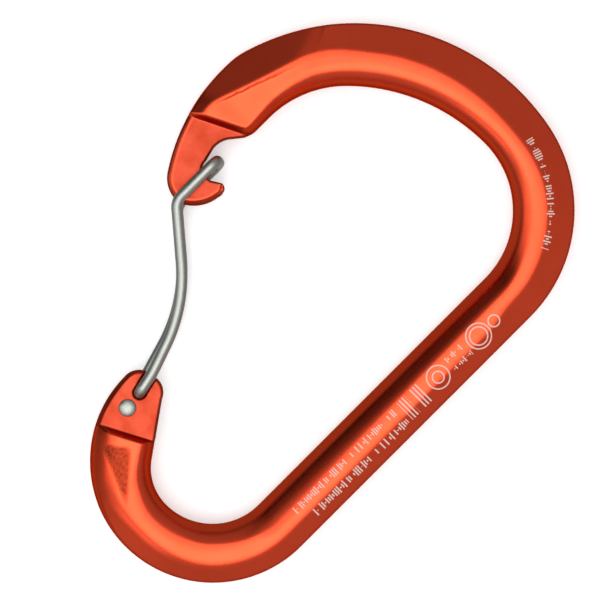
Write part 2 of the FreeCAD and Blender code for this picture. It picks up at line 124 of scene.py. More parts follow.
class Line:
    """Straight run between two points."""

    def __init__(self, start, end):
        self.start = np.array(start, float)
        self.end = np.array(end, float)
        self.length = float(np.hypot(*(self.end - self.start)))

    def points(self, share):
        return self.start + np.outer(share, self.end - self.start)

    def distance(self, places):
        along = (self.end - self.start) / self.length
        run = np.clip((places - self.start) @ along, 0, self.length)
        return np.hypot(*(places - self.start - np.outer(run, along)).T)


def arc_through(first, middle, last):
    """Arc through three points."""
    ax, ay = first
    bx, by = middle
    cx, cy = last
    d = 2 * (ax * (by - cy) + bx * (cy - ay) + cx * (ay - by))
    sa, sb, sc = ax * ax + ay * ay, bx * bx + by * by, cx * cx + cy * cy
    centre_x = (sa * (by - cy) + sb * (cy - ay) + sc * (ay - by)) / d
    centre_y = (sa * (cx - bx) + sb * (ax - cx) + sc * (bx - ax)) / d
    radius = math.hypot(ax - centre_x, ay - centre_y)
    start, at_middle, at_last = (
        math.degrees(math.atan2(y - centre_y, x - centre_x)) for x, y in (first, middle, last)
    )
    swing_middle = (at_middle - start) % 360
    swing_last = (at_last - start) % 360
    end = start + swing_last if swing_middle <= swing_last else start + swing_last - 360
    return Arc((centre_x, centre_y, radius), start, end)


class Chain:
    """Curves joined end to end."""

    def __init__(self, parts):
        self.parts = parts
        self.marks = np.concatenate([[0.0], np.cumsum([part.length for part in parts])])

    def points(self, run):
        run = np.clip(run, 0, self.marks[-1])
        index = np.clip(np.searchsorted(self.marks, run, side="right") - 1, 0, len(self.parts) - 1)
        places = np.zeros((len(run), 2))
        for number, part in enumerate(self.parts):
            chosen = index == number
            if chosen.any():
                places[chosen] = part.points((run[chosen] - self.marks[number]) / part.length)
        return places

    def distance(self, places):
        return np.min([part.distance(places) for part in self.parts], axis=0)

    def run_at(self, place, after=0.0):
        """Length along the chain of its nearest point to a place."""
        runs = np.linspace(after, self.marks[-1], RUN_SAMPLES)
        gaps = np.hypot(*(self.points(runs) - np.array(place)).T)
        return float(runs[gaps.argmin()])


def on_circle(circle, degrees):
    """Point of a circle at an angle from X."""
    angle = math.radians(degrees)
    return (circle[0] + circle[2] * math.cos(angle), circle[1] + circle[2] * math.sin(angle))


def outer_chain():
    """Outside of the body, from the hook's lip round to the top of the hinge tab."""
    return Chain([
        arc_through(LIP_TIP, (-20.435, 3.973), (-20.3, 3.5)),
        arc_through((-20.3, 3.5), (-20.18, 2.95), (-20.3, 2.4)),
        arc_through((-20.3, 2.4), (-21.9, -1.5), (-24.6, -3.6)),
        arc_through((-24.6, -3.6), (-27.6, -3.25), on_circle(NOSE, HOOK_START)),
        Arc(NOSE, HOOK_START, BLEND_END),
        Arc(BLEND, BLEND_END, BLEND_START),
        Arc(ARCH, BLEND_START, ARCH_START),
        Arc(CORNER, ARCH_START, 0),
        Line(on_circle(CORNER, 0), on_circle(HEEL, 0)),
        Arc(HEEL, 360, 270),
        Arc(HEEL_LEFT, 270, 180),
        arc_through(on_circle(HEEL_LEFT, 180), (-8.25, -31.25), (-6.2, -30.05)),
        Line((-6.2, -30.05), TAB_TIP),
    ])


def inner_chain():
    """Gate and eye side of the body, over the same stretch."""
    edge_foot = on_circle(EYE_HEEL_LEFT, TAB_EDGE_DEG)
    edge_top = (-1.06, -31.9)
    return Chain([
        arc_through(LIP_TIP, (-21.151, 4.557), (-21.6, 4.6)),
        arc_through((-21.6, 4.6), (-22.5, 4.05), (-23.5, 3.4)),
        Line((-23.5, 3.4), (-25.1, 3.4)),
        arc_through((-25.1, 3.4), (-26.25, 4.0), (-26.75, 5.4)),
        Line((-26.75, 5.4), (-27.45, 8.2)),
        arc_through((-27.45, 8.2), (-27.3, 9.8), (-26.1, 11.9)),
        Line((-26.1, 11.9), (-25.0, 13.3)),
        arc_through((-25.0, 13.3), (-24.3, 14.6), (-24.055, 16.3)),
        Line((-24.055, 16.3), on_circle(EYE_SHOULDER, 180)),
        Arc(EYE_SHOULDER, 180, 135),
        Arc(EYE_ARCH, 135, 90),
        Arc(EYE_CORNER, 90, 0),
        Line(on_circle(EYE_CORNER, 0), on_circle(EYE_HEEL, 0)),
        Arc(EYE_HEEL, 360, 270),
        Arc(EYE_HEEL_LEFT, 270, TAB_EDGE_DEG),
        Line(edge_foot, edge_top),
        arc_through(edge_top, (-2.35, -30.35), TAB_TIP),
    ])


# ---------------------------------------------------------------- the body's sections

class Section(NamedTuple):
    """Cross-section of one face of the body at one place along it."""

    crown: float           # how far in from the outside the crown begins
    slope: float           # of the bevel outside the crown
    inner_wide: float      # width of the round along the inner curve
    radius: float          # where the bevel meets the crown
    rim: float = 9.0       # height of the outside chamfer at its foot; 9 is above the body: none
    chamfer: float = 0.48  # slope of that chamfer
    edge: float = 0.45     # radius of the outside edge
    lift: float = 2.0      # of the eye-side planes over their place on the spine; 2 is none


# Matching places on the outer and inner curves, the spacing of the mesh from there to the next
# place, and the section there.
STATIONS = [
    (LIP_TIP, LIP_TIP, 0.20, Section(5.0, 0.60, 5.0, 4, rim=2.44, chamfer=0.3)),
    ((-20.35, 1.9), (-21.6, 4.6), 0.20, Section(5.0, 0.60, 5.0, 4, rim=1.80, chamfer=0.7)),
    ((-21.9, -1.5), (-23.5, 3.4), 0.22, Section(5.0, 0.60, 5.0, 4, rim=1.65, chamfer=0.8)),
    ((-24.6, -3.6), (-25.3, 3.41), 0.25, Section(5.0, 0.60, 5.0, 4, rim=1.75, chamfer=0.7)),
    ((-29.4, -1.95), (-26.3, 4.1), 0.25, Section(5.0, 0.60, 5.0, 4, rim=1.96, chamfer=0.5)),
    ((-32.7, 3.2), (-26.8, 5.6), 0.25, Section(5.0, 0.60, 5.0, 4, rim=2.00)),
    ((-34.3, 6.9), (-27.45, 8.2), 0.25, Section(5.0, 0.60, 3.0, 4, rim=2.00)),
    (NOSE_WALL[0], (-24.35, 14.45), 0.25, Section(5.0, 0.60, 3.0, 4, rim=2.00)),
    ((-35.6, 11.6), (-24.055, 16.3), 0.25, Section(5.0, 0.60, 3.0, 4)),
    ((-36.55, 18.0), (-24.055, 18.9), 0.25, Section(5.5, 0.55, 3.2, 4)),
    (on_circle(ARCH, 163.5), (-23.78, 22.8), 0.25, Section(6.0, 0.50, 3.6, 4)),
    (on_circle(ARCH, 143), (-20.5, 31.0), 0.25, Section(6.4, 0.48, 4.3, 4)),
    (on_circle(ARCH, 127), (-15.6, 36.2), 0.60, Section(6.9, 0.50, 4.5, 3.4)),
    (on_circle(ARCH, 87), (7.8, 44.6), 0.90, Section(7.4, 0.48, 4.2, 3.4)),
    (on_circle(CORNER, 45), on_circle(EYE_CORNER, 45), 0.90,
     Section(6.6, 0.48, 4.6, 3.4, lift=1.2)),
    (on_circle(CORNER, 0), on_circle(EYE_CORNER, 0), 1.20,
     Section(5.9, 0.50, 5.2, 3.4, lift=0.15)),
    ((36.6, 20.0), (25.6, 20.0), 1.20, Section(4.9, 0.52, 5.6, 3.4, lift=0.12)),
    (on_circle(HEEL, 0), on_circle(EYE_HEEL, 0), 0.70, Section(4.8, 0.55, 6.2, 3.4, lift=0.0)),
    ((30.3, -48.7), (21.5, -42.1), 0.60, Section(5.1, 0.68, 5.8, 4, lift=0.6)),
    (on_circle(HEEL, 270), on_circle(EYE_HEEL, 270), 0.40,
     Section(5.9, 0.70, 5.4, 4, chamfer=0.9, lift=1.5)),
    ((2.6, -53.2), (8.3, -43.8), 0.25, Section(6.1, 0.72, 4.3, 6, rim=1.9, chamfer=1.0, edge=1.2)),
    (on_circle(HEEL_LEFT, 222), on_circle(EYE_HEEL_LEFT, 217), 0.25,
     Section(6.0, 0.78, 3.4, 6, rim=1.3, chamfer=1.05, edge=1.2)),
    (*HINGE_WALL, 0.25, Section(5.5, 0.72, 3.0, 5, rim=1.5, chamfer=1.0, edge=0.8)),
    ((-8.6, -37.6), (0.9, -34.5), 0.25, Section(4.0, 0.50, 3.0, 3, rim=1.5, chamfer=1.0)),
    ((-9.0, -33.6), (-1.06, -31.9), 0.22, Section(4.0, 0.50, 3.0, 3, rim=1.6, chamfer=1.0)),
    ((-7.9, -30.9), (-2.0, -30.65), 0.15, Section(4.0, 0.50, 3.0, 3, rim=1.9, chamfer=0.8)),
    (TAB_TIP, TAB_TIP, 0.15, Section(4.0, 0.50, 3.0, 3, rim=2.1, chamfer=0.6)),
]

# places on the outer curve up to which and from which the nose's and the hinge's shapes hold
NOSE_REACH = on_circle(ARCH, 110)
HINGE_REACH = (13.0, -56.0)

# The nose: planes through three points, heights from the mid-plane, on the two sides of a ridge,
# with a struck crease between them.
RIDGE = ((-34.4, 12.0), (-27.9, 30.0))
NOSE_FACET = ((-34.4, 11.0, 3.95), (-27, 31.8, 5.0), (-25.9, 18, 4.35))
NOSE_FACET_RISE = 0.15
NOSE_BEVEL = ((-34.4, 12, 4.10), (-27.9, 30, 5.05), (-32.6, 33, 1.25))
NOSE_BEVEL_END = ((-28.6, 38.4), (-26.7, 34.8))
NOSE_BEVEL_END_SLOPE = 1.3
NOSE_BEVEL_END_DENT = 0.3
NOSE_BEVEL_END_DENT_WIDE = 1.6
CREASE_DEPTH = 0.20
CREASE_OFFSET = 0.45
CREASE_WIDE = 0.7
CREASE_FOOT, CREASE_FOOT_RUN = 12.6, 4.0
CREASE_TOP, CREASE_TOP_RUN = 31.5, 3.0

# the shallow hollow above the hinge wall: corners, and the width over which its side slopes
HOLLOW = ((-3.6, -45.7), (9.8, -51.4), (1.2, -41.6))
HOLLOW_DEPTH = 0.26
HOLLOW_CORNER = 1.2
HOLLOW_SIDE_START, HOLLOW_SIDE_WIDE = -0.1, 0.9

# planes on the eye side of the spine: height at the rim, slope, and share of a section's lift
EYE_PLANES = ((0.3, 1.6, 1.0), (1.55, 0.78, 1.0), (2.75, 0.40, 4.0))

# walls down to the tabs, the tabs' sides, and the slots for the legs
NOSE_WALL_SLOPE = 1.85
HINGE_WALL_SLOPE = 3.0
TAB_SIDE_SLOPE = 6.0
TAB_END = 0.5
SLOT_RADIUS = 1.14
SLOT_DEPTH = 0.9
SLOT_SIDE_SLOPE = 7.0

# edges: height of the rim on the inner curve, radius of its edge, and the heights over which
# neighbouring planes are rounded into each other
INNER_RIM = 0.5
INNER_EDGE = 0.32
SHARP = 0.12
INNER_SOFT = 0.5
EYE_SOFT = 0.45
RIDGE_SOFT = 0.35
FACET_SOFT = 0.30
NOSE_WALL_SOFT = 0.7
HINGE_WALL_SOFT = 0.8
HEEL_SOFT, HEEL_SOFT_RUN = 0.8, 3.0

# points of the mesh across the body, and the fewest rows between two stations
ACROSS = 70
LEAST_ROWS = 2

# distance from a wall that stands for none nearby
FAR = 99.0


def smooth_min(a, b, soft):
    """Lower of two heights, with the crease between them rounded over."""
    share = np.clip(soft - np.abs(a - b), 0, None) / soft
    return np.minimum(a, b) - share * share * soft / 4


def smooth_max(a, b, soft):
    """Higher of two heights, with the valley between them filled."""
    return -smooth_min(-a, -b, soft)


def step_up(value):
    """Smooth step from 0 to 1."""
    t = np.clip(value, 0, 1)
    return t * t * (3 - 2 * t)


def quarter(distance, radius):
    """Height of a quarter circle's edge, 0 at its foot and 1 from one radius on."""
    return np.sqrt(1 - (1 - np.clip(distance / radius, 0, 1)) ** 2)


def dent(distance, half):
    """Cross-section of a rounded line, 1 at its middle."""
    return np.exp(-(distance / half) ** 2)


def side_of(places, first, last):
    """Distance to the left of the line from one point to another."""
    first, last = np.array(first, float), np.array(last, float)
    along = (last - first) / np.hypot(*(last - first))
    offset = places - first
    return along[0] * offset[:, 1] - along[1] * offset[:, 0]


def plane(places, corners):
    """Height of a slanted plane through three points."""
    a, b, c = (np.array(corner, float) for corner in corners)
    normal = np.cross(b - a, c - a)
    offset = places - a[:2]
    return a[2] - (normal[0] * offset[:, 0] + normal[1] * offset[:, 1]) / normal[2]


class Plan(NamedTuple):
    """Points of the body's surface in plan, with all that their heights depend on."""

    places: np.ndarray
    outside: np.ndarray     # distance from the outer curve
    inside: np.ndarray      # distance from the inner curve
    section: Section        # of arrays, with one value for each point
    near_nose: np.ndarray
    near_hinge: np.ndarray


def nose_height(places, height):
    """Nose: a gentle facet inside the ridge, a steep bevel outside it, a crease between them."""
    right_of_ridge = -side_of(places, *RIDGE)
    y = places[:, 1]
    crease = step_up((y - CREASE_FOOT) / CREASE_FOOT_RUN)
    crease *= step_up((CREASE_TOP - y) / CREASE_TOP_RUN)
    crease *= CREASE_DEPTH * step_up((right_of_ridge - CREASE_OFFSET) / CREASE_WIDE)
    facet = plane(places, NOSE_FACET) + NOSE_FACET_RISE - crease
    past_end = side_of(places, *NOSE_BEVEL_END)
    bevel = plane(places, NOSE_BEVEL) + NOSE_BEVEL_END_SLOPE * np.clip(past_end, 0, None)
    bevel -= NOSE_BEVEL_END_DENT * dent(past_end, NOSE_BEVEL_END_DENT_WIDE)
    return smooth_min(smooth_min(height, bevel, RIDGE_SOFT), facet, FACET_SOFT)


def in_hollow(places):
    """1 inside the shallow three-sided hollow above the hinge wall, 0 outside."""
    a, b, c = HOLLOW
    inward = smooth_min(side_of(places, a, b), side_of(places, b, c), HOLLOW_CORNER)
    inward = smooth_min(inward, side_of(places, c, a), HOLLOW_CORNER)
    return step_up((inward - HOLLOW_SIDE_START) / HOLLOW_SIDE_WIDE)


def slot_height(places, slot):
    """Floor and sides of the slot that lets a leg bend into its hole."""
    pivot, leg_end = slot
    way = leg_end - pivot
    run = np.clip((places - pivot) @ way / (way @ way), 0, 1)
    from_slot = np.hypot(*(places - pivot - np.outer(run, way)).T) - SLOT_RADIUS
    return HALF_TAB - SLOT_DEPTH + SLOT_SIDE_SLOPE * np.clip(from_slot, 0, None)


def past_wall(plan):
    """Distance from the foot of the nearer wall towards the rod; negative over the flat tabs."""
    past_nose_wall = side_of(plan.places, *NOSE_WALL)
    past_hinge_wall = -side_of(plan.places, *HINGE_WALL)
    past_either = np.where(plan.near_hinge, past_hinge_wall, FAR)
    return np.where(plan.near_nose, past_nose_wall, past_either)


def rod_height(plan, to_rod):
    """Height of the body's face before it is cut down at the tabs and along the outside."""
    at = plan.section
    soft = at.radius * at.slope ** 2 / 2
    bevel = HALF_THICKNESS + soft + at.slope * (plan.outside - at.crown)
    height = smooth_min(bevel, np.full(len(plan.places), HALF_THICKNESS), soft)
    height = np.where(plan.near_nose, nose_height(plan.places, height), height)
    height = np.where(plan.near_hinge, height - HOLLOW_DEPTH * in_hollow(plan.places), height)
    inner = INNER_RIM + (HALF_THICKNESS - INNER_RIM) * quarter(plan.inside, at.inner_wide)
    inner += TAB_SIDE_SLOPE * np.clip(-to_rod, 0, None)
    height = smooth_min(height, inner, INNER_SOFT)
    for start, rise, share in EYE_PLANES:
        height = smooth_min(height, share * at.lift + start + rise * plan.inside, EYE_SOFT)
    return height


def heights(plan, slot):
    """Height of the body's surface above its mid-plane, on the face that has this slot."""
    at = plan.section
    to_rod = past_wall(plan)
    height = rod_height(plan, to_rod)

    steep = np.where(plan.near_nose, NOSE_WALL_SLOPE, HINGE_WALL_SLOPE)
    wall = smooth_max(HALF_TAB + steep * to_rod, np.full(len(to_rod), HALF_TAB), SHARP)
    height = smooth_min(height, wall, np.where(plan.near_nose, NOSE_WALL_SOFT, HINGE_WALL_SOFT))
    rim_soft = SHARP + HEEL_SOFT * plan.near_hinge * step_up(to_rod / HEEL_SOFT_RUN)
    height = smooth_min(height, at.rim + at.chamfer * plan.outside, rim_soft)
    slotted = smooth_min(height, slot_height(plan.places, slot), SHARP)
    height = np.where(plan.near_hinge, slotted, height)

    height -= at.edge * (1 - quarter(plan.outside, at.edge))
    return height - INNER_EDGE * (1 - quarter(plan.inside, INNER_EDGE)) * (to_rod < TAB_END)


# Painted shade at the walls' feet, a darker colour where shade falls: where it starts, the width
# over which it sets in and fades out, its width at each wall, and on the nose its strength and its
# growth in from the outside.
SHADE_START, SHADE_FOOT, SHADE_FADE = -0.15, 0.25, 0.5
NOSE_SHADE_WIDE, HINGE_SHADE_WIDE = 0.9, 0.55
NOSE_SHADE, NOSE_SHADE_START, NOSE_SHADE_RUN = 0.75, 0.4, 3.5

# painted highlight along the edge of the hook's tab, a smoother strip left in the brighter satin
# colour: distance in from the outside, half-width
HOOK_HIGHLIGHT, HOOK_HIGHLIGHT_HALF = 1.0, 0.16


def finish_and_shade_masks(plan, slot):
    """Masks: matte tabs, less a bright strip along the hook's edge that is a painted highlight;
    painted shade deep in a step or slot; and the pitted hollow, also painted darker as shade.
    """
    to_rod = past_wall(plan)
    wide = np.where(plan.near_nose, NOSE_SHADE_WIDE, HINGE_SHADE_WIDE)
    # painted shade: darker at the walls' feet, and in the slots
    recess_shade = step_up((to_rod - SHADE_START) / SHADE_FOOT) * step_up((wide - to_rod) / SHADE_FADE)
    on_nose = NOSE_SHADE * step_up((plan.outside - NOSE_SHADE_START) / NOSE_SHADE_RUN)
    recess_shade *= np.where(plan.near_nose, on_nose, 1.0)
    in_slot = plan.near_hinge * (slot_height(plan.places, slot) < HALF_TAB)
    hook_highlight = plan.near_nose * dent(plan.outside - HOOK_HIGHLIGHT, HOOK_HIGHLIGHT_HALF)
    # the hook's edge is kept out of the matte tab, as a painted highlight in the satin colour
    matte = step_up(TAB_END - to_rod) * (1 - hook_highlight)
    return matte, np.maximum(recess_shade, in_slot), plan.near_hinge * in_hollow(plan.places)


# ---------------------------------------------------------------- the body's mesh

def mesh_rows(outer, inner):
    """Runs on both curves and section values for every row of the body's mesh."""
    out_runs, in_runs = [0.0], [0.0]
    for out_place, in_place, _, _ in STATIONS[1:-1]:
        out_runs.append(outer.run_at(out_place, out_runs[-1]))
        in_runs.append(inner.run_at(in_place, in_runs[-1]))
    out_runs.append(outer.marks[-1])
    in_runs.append(inner.marks[-1])
    rows = []
    for number in range(len(STATIONS) - 1):
        step, first = STATIONS[number][2:]
        second = STATIONS[number + 1][3]
        out_gap = out_runs[number + 1] - out_runs[number]
        in_gap = in_runs[number + 1] - in_runs[number]
        count = max(LEAST_ROWS, round(max(out_gap, in_gap) / step))
        for share in np.arange(count) / count:
            section = [a + (b - a) * step_up(share) for a, b in zip(first, second)]
            runs = [out_runs[number] + share * out_gap, in_runs[number] + share * in_gap]
            rows.append(runs + section)
    rows.append([out_runs[-1], in_runs[-1], *STATIONS[-1][3]])
    return np.array(rows)


def body_plan(outer, inner):
    """Points of the body in plan, row by row, with the sections there."""
    rows = mesh_rows(outer, inner)
    across = (1 - np.cos(np.linspace(0, math.pi, ACROSS))) / 2
    out_places, in_places = outer.points(rows[:, 0]), inner.points(rows[:, 1])
    grid = out_places[:, None, :] + across[None, :, None] * (in_places - out_places)[:, None, :]
    places = grid.reshape(-1, 2)
    run = np.repeat(rows[:, 0], ACROSS)
    return Plan(
        places=places,
        outside=outer.distance(places),
        inside=inner.distance(places),
        section=Section(*(np.repeat(column, ACROSS) for column in rows[:, 2:].T)),
        near_nose=run < outer.run_at(NOSE_REACH),
        near_hinge=run > outer.run_at(HINGE_REACH),
    )


def body_faces(count):
    """Faces round the two height fields, one above the other, joined along their flanks."""
    upper = np.arange(count * ACROSS).reshape(count, ACROSS)
    upper[0, :] = upper[0, 0]
    upper[-1, :] = upper[-1, 0]
    lower = upper + count * ACROSS
    loops = np.concatenate([upper, lower[:, ::-1], upper[:, :1]], axis=1)
    faces = []
    for here, there in zip(loops[:-1], loops[1:]):
        for one in range(loops.shape[1] - 1):
            corners = [here[one], here[one + 1], there[one + 1], there[one]]
            face = [int(c) for n, c in enumerate(corners) if c != corners[n - 1]]
            if len(set(face)) > 2:
                faces.append(face)
    return faces


def body_mesh():
    """The whole forged body as one closed mesh."""
    plan = body_plan(outer_chain(), inner_chain())
    front_slot = (FRONT_PIVOT, FRONT_PIVOT + FRONT_SLOT_RUN * FRONT_SLOT_WAY)
    rear_slot = (REAR_PIVOT, REAR_PIVOT + REAR_SLOT_RUN * REAR_SLOT_WAY)
    upper = np.column_stack([plan.places, MID_PLANE + heights(plan, front_slot)])
    lower = np.column_stack([plan.places, MID_PLANE - heights(plan, rear_slot)])
    points = np.concatenate([upper, lower]) * MM
    # masks: the matte tabs, painted shade at the walls' feet and in the slots, and the pitted
    # hollow, also painted as shade
    masks = np.concatenate([finish_and_shade_masks(plan, slot) for slot in (front_slot, rear_slot)], axis=1)
    faces = body_faces(len(plan.places) // ACROSS)
    return new_mesh("forged_body", points, faces, dict(zip(("matte", "recess_shade", "pitted_and_shaded"), masks)))


def new_mesh(name, points, faces, masks=None):
    """Smooth-shaded mesh object without loose points, with any masks as point attributes."""
    mesh = bpy.data.meshes.new(name)
    used = sorted({corner for face in faces for corner in face})
    place = {old: new for new, old in enumerate(used)}
    mesh.from_pydata(
        [tuple(points[old]) for old in used], [], [[place[c] for c in face] for face in faces]
    )
    mesh.update()
    mesh.polygons.foreach_set("use_smooth", [True] * len(mesh.polygons))
    for label, values in (masks or {}).items():
        mesh.attributes.new(label, "FLOAT", "POINT").data.foreach_set("value", values[used])
    obj = bpy.data.objects.new(name, mesh)
    bpy.context.scene.collection.objects.link(obj)
    return obj


# ---------------------------------------------------------------- the gate wire

WIRE_RADIUS = 1.06
LEG_HEIGHT = 3.7

# corners of the bent wire in plan, from the front leg's foot and on to the rear leg's foot, and
# the radii of its bends: the bar that latches runs down from the last front to the first rear one
FRONT_CORNERS = ((-5.7, -29.6), (-10.3, -16.4), (-25.2, -3.73), (-25.2, 6.9))
REAR_CORNERS = ((-24.75, 6.9), (-24.75, -4.3), (-10.71, -16.2))
WIRE_BENDS = (20.0, 30.0, 3.0, 1.7, 1.7, 3.0, 29.0)

# pegs: how far out along the leg they begin, radius of the bend, and end of the front one
PEG_RUN = 2.2
PEG_BEND = 1.3
FRONT_PEG_END = -0.6

# peened head: radius and height above the tab, from the peg outwards and over the head
HEAD_PROFILE = [(1.0, 0.03), (1.52, 0.05), (1.62, 0.12), (1.64, 0.2), (1.61, 0.3), (1.5, 0.42),
                (1.28, 0.54), (1.05, 0.64), (0.78, 0.71), (0.5, 0.75), (0.22, 0.77), (0.05, 0.775)]

# mesh of the tubes: points in a ring, spacing in the bends of the wire and of a peg, how many
# times that on straight runs, fewest rings in a bend, and a way that no wire runs in, from
# which the first ring is laid out
RING = 28
WIRE_STEP = 0.35
PEG_STEP = 0.2
STRAIGHT_STEPS = 3
LEAST_BEND = 6
OFF_WAY = (0.3, 0.5, 0.81)


def unit(way):
    """The same way with a length of 1."""
    way = np.array(way, float)
    return way / np.linalg.norm(way)


def add_run(points, end, step):
    """Carry a path straight on to a point."""
    gap = np.linalg.norm(end - points[-1])
    count = max(1, round(gap / (step * STRAIGHT_STEPS)))
    start = points[-1]
    for index in range(1, count + 1):
        points.append(start + (end - start) * index / count)


def rounded_path(corners, radii, step):
    """Points along straight runs joined by arcs."""
    corners = [np.array(corner, float) for corner in corners]
    points = [corners[0]]
    for before, corner, after, radius in zip(corners, corners[1:], corners[2:], radii):
        back = unit(before - corner)
        ahead = unit(after - corner)
        turn = math.pi - math.acos(np.clip(back @ ahead, -1, 1))
        centre = corner + unit(back + ahead) * radius / math.cos(turn / 2)
        start = corner + back * radius * math.tan(turn / 2)
        spoke = (start - centre) / radius
        count = max(LEAST_BEND, round(radius * turn / step))
        add_run(points, start, step)
        for index in range(1, count + 1):
            angle = turn * index / count
            points.append(centre + radius * (spoke * math.cos(angle) - back * math.sin(angle)))
    add_run(points, corners[-1], step)
    return np.array(points)


def tube_points(path, radii):
    """Rings of points round a path, then the middles of its two ends."""
    ways = np.gradient(path, axis=0)
    ways /= np.linalg.norm(ways, axis=1)[:, None]
    side = np.cross(ways[0], OFF_WAY)
    angles = np.linspace(0, 2 * math.pi, RING, endpoint=False)
    rings = []
    for place, way, radius in zip(path, ways, radii):
        side = unit(side - way * (side @ way))
        other = np.cross(way, side)
        ring = np.outer(np.cos(angles), side) + np.outer(np.sin(angles), other)
        rings.append(place + radius * ring)
    return np.concatenate(rings + [path[:1], path[-1:]])


def tube(name, path, radii):
    """Closed round tube along a path; radii holds one radius for each point. Its ends are flat."""
    points = tube_points(path, radii) + np.array((0, 0, MID_PLANE))
    last = (len(path) - 1) * RING
    first_middle, last_middle = len(path) * RING, len(path) * RING + 1
    faces = []
    for low in range(0, last, RING):
        high = low + RING
        for spoke in range(RING):
            following = (spoke + 1) % RING
            faces.append([low + spoke, low + following, high + following, high + spoke])
    for spoke in range(RING):
        following = (spoke + 1) % RING
        faces.append([following, spoke, first_middle])
        faces.append([last + spoke, last + following, last_middle])
    obj = new_mesh(name, points * MM, faces)
    rims = [
        {edge.vertices[0] // RING, edge.vertices[1] // RING} in ({0}, {len(path) - 1})
        for edge in obj.data.edges
    ]
    obj.data.attributes.new("sharp_edge", "BOOLEAN", "EDGE").data.foreach_set("value", rims)
    return obj


def leg_start(pivot, corner, z):
    """Place on a leg where its peg begins."""
    return np.array((*pivot, z)) + PEG_RUN * np.array((*unit(np.array(corner) - pivot), 0))


def peg_path(pivot, corner, z, end):
    """Path of a peg, from its leg at height z round the bend and along its hole."""
    start = leg_start(pivot, corner, z)
    return rounded_path([start, (*pivot, z), (*pivot, end)], [PEG_BEND], PEG_STEP)


def gate_wire():
    """The whole visible gate: front leg, latching bar and rear leg, as one bent wire."""
    z = LEG_HEIGHT
    path = rounded_path(
        [leg_start(FRONT_PIVOT, FRONT_CORNERS[0], z),
         *((*corner, z) for corner in FRONT_CORNERS),
         *((*corner, -z) for corner in REAR_CORNERS),
         leg_start(REAR_PIVOT, REAR_CORNERS[-1], -z)],
        WIRE_BENDS, WIRE_STEP,
    )
    wire = tube("gate_wire", path, np.full(len(path), WIRE_RADIUS))
    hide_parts("gate_wire_front", "gate_wire_rear")
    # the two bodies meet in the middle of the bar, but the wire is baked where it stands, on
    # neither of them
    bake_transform(wire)
    return wire


def front_peg():
    """End of the front leg, bent down into its blind hole."""
    path = peg_path(FRONT_PIVOT, FRONT_CORNERS[0], LEG_HEIGHT, FRONT_PEG_END)
    peg = tube("front_leg_end", path, np.full(len(path), WIRE_RADIUS))
    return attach(peg, "gate_front")


def rear_peg():
    """End of the rear leg, through the tab to its peened head."""
    path = peg_path(REAR_PIVOT, REAR_CORNERS[-1], -LEG_HEIGHT, HALF_TAB)[:-1]
    radii = np.full(len(path), WIRE_RADIUS)
    head = [(*REAR_PIVOT, HALF_TAB + height) for _, height in HEAD_PROFILE]
    head_radii = [radius for radius, _ in HEAD_PROFILE]
    peg = tube("rear_leg_end", np.concatenate([path, head]), np.concatenate([radii, head_radii]))
    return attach(peg, "gate_rear")


# ---------------------------------------------------------------- materials

class Nodes:
    """Short ways to add nodes to a tree."""

    def __init__(self, tree):
        self.tree = tree

    def put(self, value, socket):
        """Link a socket or write a plain value."""
        if isinstance(value, bpy.types.NodeSocket):
            self.tree.links.new(value, socket)
        else:
            socket.default_value = value

    def node(self, kind, *values):
        """New node with its first inputs filled."""
        node = self.tree.nodes.new("ShaderNode" + kind)
        for value, socket in zip(values, node.inputs):
            self.put(value, socket)
        return node

    def maths(self, operation, *values):
        node = self.node("Math", *values)
        node.operation = operation
        return node.outputs[0]

    def vector_value(self, operation, first, second):
        """Number worked out from two vectors."""
        node = self.node("VectorMath", first, second)
        node.operation = operation
        return node.outputs["Value"]

    def axes(self, vector):
        """X, Y and Z of a vector."""
        return self.node("SeparateXYZ", vector).outputs

    def spread(self, value, low, high, start=0.0, end=1.0, smooth=False):
        """Map a value's range from start..end to low..high."""
        node = self.node("MapRange", value, start, end, low, high)
        node.interpolation_type = "SMOOTHSTEP" if smooth else "LINEAR"
        return node.outputs[0]


class Shading(Nodes):
    """A Principled material."""

    def __init__(self, name):
        self.material = bpy.data.materials.new(name)
        self.material.use_nodes = True
        super().__init__(self.material.node_tree)
        self.shader = self.tree.nodes["Principled BSDF"]

    def set(self, **values):
        for name, value in values.items():
            self.put(value, self.shader.inputs[name.replace("_", " ")])

    def place(self):
        """Place on the part, in millimetres."""
        mapping = self.node("Mapping", self.node("TexCoord").outputs["Object"])
        mapping.inputs["Scale"].default_value = (1 / MM, 1 / MM, 1 / MM)
        return mapping.outputs[0]

    def noise(self, place, scale, detail):
        node = self.node("TexNoise")
        self.put(place, node.inputs["Vector"])
        node.inputs["Scale"].default_value = scale
        node.inputs["Detail"].default_value = detail
        return node.outputs["Fac"]

    def mix(self, share, first, second):
        node = self.tree.nodes.new("ShaderNodeMix")
        node.data_type = "RGBA"
        self.put(share, node.inputs[0])
        self.put(first, node.inputs[6])
        self.put(second, node.inputs[7])
        return node.outputs[2]

    def attribute(self, name):
        node = self.node("Attribute")
        node.attribute_name = name
        return node.outputs["Fac"]

    def bump(self, height, distance):
        node = self.node("Bump")
        node.inputs["Distance"].default_value = distance * MM
        node.inputs["Strength"].default_value = 1.0
        self.put(height, node.inputs["Height"])
        self.put(node.outputs[0], self.shader.inputs["Normal"])


# painted shade along the crease beside the nose's ridge, a thin uneven dark line: offset from the
# ridge, half-width and the share of it before the line's edge softens, how far it wavers, its ends
# along Y, and the runs over which it sets in and fades out
CREASE_SHADE_OFFSET, CREASE_SHADE_HALF, CREASE_SHADE_CORE, CREASE_SHADE_WAVER = 0.72, 0.38, 0.2, 0.15
CREASE_SHADE_FOOT, CREASE_SHADE_FOOT_RUN = 12.8, 4.0
CREASE_SHADE_TOP, CREASE_SHADE_TOP_RUN = 31.5, 6.0


